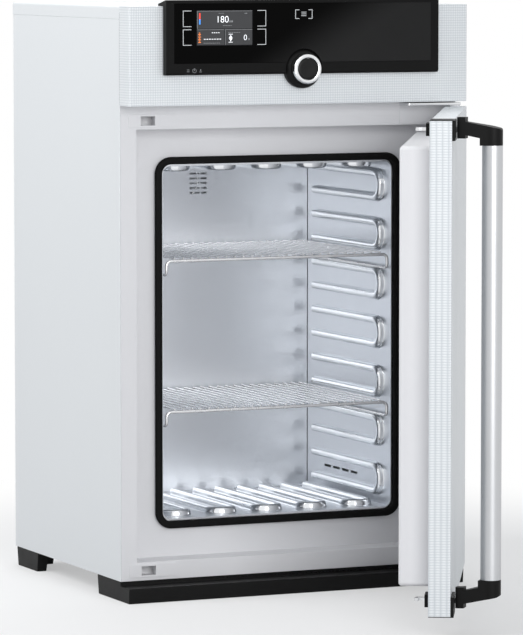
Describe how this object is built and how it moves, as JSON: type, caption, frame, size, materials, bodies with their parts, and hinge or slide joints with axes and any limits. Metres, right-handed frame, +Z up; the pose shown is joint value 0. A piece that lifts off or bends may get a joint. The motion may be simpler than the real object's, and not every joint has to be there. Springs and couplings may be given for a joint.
{
  "type": "convection drying oven",
  "caption": "Benchtop laboratory drying oven: ribbed steel chamber with wire shelves, insulated right-hinged door with a two-point latch handle, control head with glass panel and knob.",
  "frame": {"origin": "on the floor at mid width, in the plane of the cabinet's front frame, on the underside of the front foot bar", "axes": "+X to the right seen from the front, +Y from the door to the back, +Z up"},
  "size_m": [0.5921, 1.0309, 0.9433],
  "materials": {
    "case_paint": "fine textured off-white powder coat",
    "case_steel": "galvanised back sheet, dull",
    "chamber_steel": "bright deep-drawn stainless steel",
    "polished_steel": "polished steel",
    "gasket_rubber": "black silicone",
    "black_moulding": "fine grained black plastic",
    "bezel_black": "satin black",
    "panel_pane": "dark tinted glass",
    "display_face": "display behind glass",
    "wool": "mineral wool",
    "heater": "woven heating tape",
    "board": "green laminate",
    "motor_case": "cast housing",
    "bearing": "acetal",
    "handle_steel": "brushed tube",
    "ring_metal": "turned and anodised"
  },
  "bodies": {
    "cabinet": {"back_panel": "case_steel", "bottom_plate": "case_steel", "cable_gland": "black_moulding", "catch_lower": "polished_steel", "catch_upper": "polished_steel", "chamber_rim": "chamber_steel", "control_board": "board", "display_module": "display_face", "door_gasket": "gasket_rubber", "encoder": "motor_case", "exhaust_duct": "chamber_steel", "flap_motor": "motor_case", "fresh_air_box": "case_steel", "front_foot": "black_moulding", "front_frame": "case_paint", "head_shell": "case_paint", "heating_ceiling": "heater", "heating_floor": "heater", "heating_left": "heater", "heating_right": "heater", "hinge_cover": "case_paint", "hinge_leaf_lower": "polished_steel", "hinge_leaf_upper": "polished_steel", "insulation": "wool", "knob_boss": "black_moulding", "liner_back": "chamber_steel", "liner_ceiling": "chamber_steel", "liner_floor": "chamber_steel", "liner_left": "chamber_steel", "liner_right": "chamber_steel", "panel_bezel": "bezel_black", "panel_glass": "panel_pane", "partition": "case_steel", "power_unit": "motor_case", "rear_foot_left": "black_moulding", "rear_foot_right": "black_moulding", "side_panel_left": "case_paint", "side_panel_right": "case_paint", "temperature_probe": "chamber_steel", "top_cover": "case_paint"},
    "door": {"door_skin": "case_paint", "door_inner_panel": "case_paint", "door_insulation": "wool", "hinge_blocks": "bearing", "corner_cap_upper": "black_moulding", "corner_cap_lower": "black_moulding", "latch_guide_upper": "black_moulding", "latch_guide_lower": "black_moulding", "latch_bracket_upper": "case_steel", "latch_bracket_lower": "case_steel"},
    "handle": {"handle_tube": "handle_steel", "handle_arm_upper": "black_moulding", "handle_arm_lower": "black_moulding", "latch_hook_upper": "polished_steel", "latch_hook_lower": "polished_steel"},
    "shelf_upper": {"shelf_upper": "chamber_steel"},
    "shelf_lower": {"shelf_lower": "chamber_steel"},
    "turn_ring": {"turn_ring": "ring_metal"},
    "confirm_cap": {"confirm_cap": "black_moulding"},
    "air_flap": {"exhaust_flap": "chamber_steel"}
  },
  "joints": [
    {"name": "door_hinge", "type": "hinge", "parent": "cabinet", "child": "door", "pos_m": [0.28, -0.024, 0.4], "axis": [0, 0, 1], "range_deg": [-61.1, 108.9]},
    {"name": "handle_hinge", "type": "hinge", "parent": "door", "child": "handle", "pos_m": [0.02712, -0.49037, 0.4], "axis": [0, 0, 1], "range_deg": [0, 12]},
    {"name": "shelf_upper_slide", "type": "slide", "parent": "cabinet", "child": "shelf_upper", "axis": [0, 1, 0], "range_m": [-0.005, 0.007]},
    {"name": "shelf_lower_slide", "type": "slide", "parent": "cabinet", "child": "shelf_lower", "axis": [0, 1, 0], "range_m": [-0.005, 0.007]},
    {"name": "turn_ring_spin", "type": "hinge", "parent": "cabinet", "child": "turn_ring", "pos_m": [0, -0.06, 0.8346], "axis": [0, -1, 0], "continuous": true},
    {"name": "confirm_press", "type": "slide", "parent": "turn_ring", "child": "confirm_cap", "axis": [0, 1, 0], "range_m": [0, 0.0012], "stiffness_N_per_m": 800, "springref_m": -0.0015},
    {"name": "air_flap_turn", "type": "hinge", "parent": "cabinet", "child": "air_flap", "pos_m": [0, 0.436, 0.633], "axis": [1, 0, 0], "range_deg": [0, 90]}
  ]
}
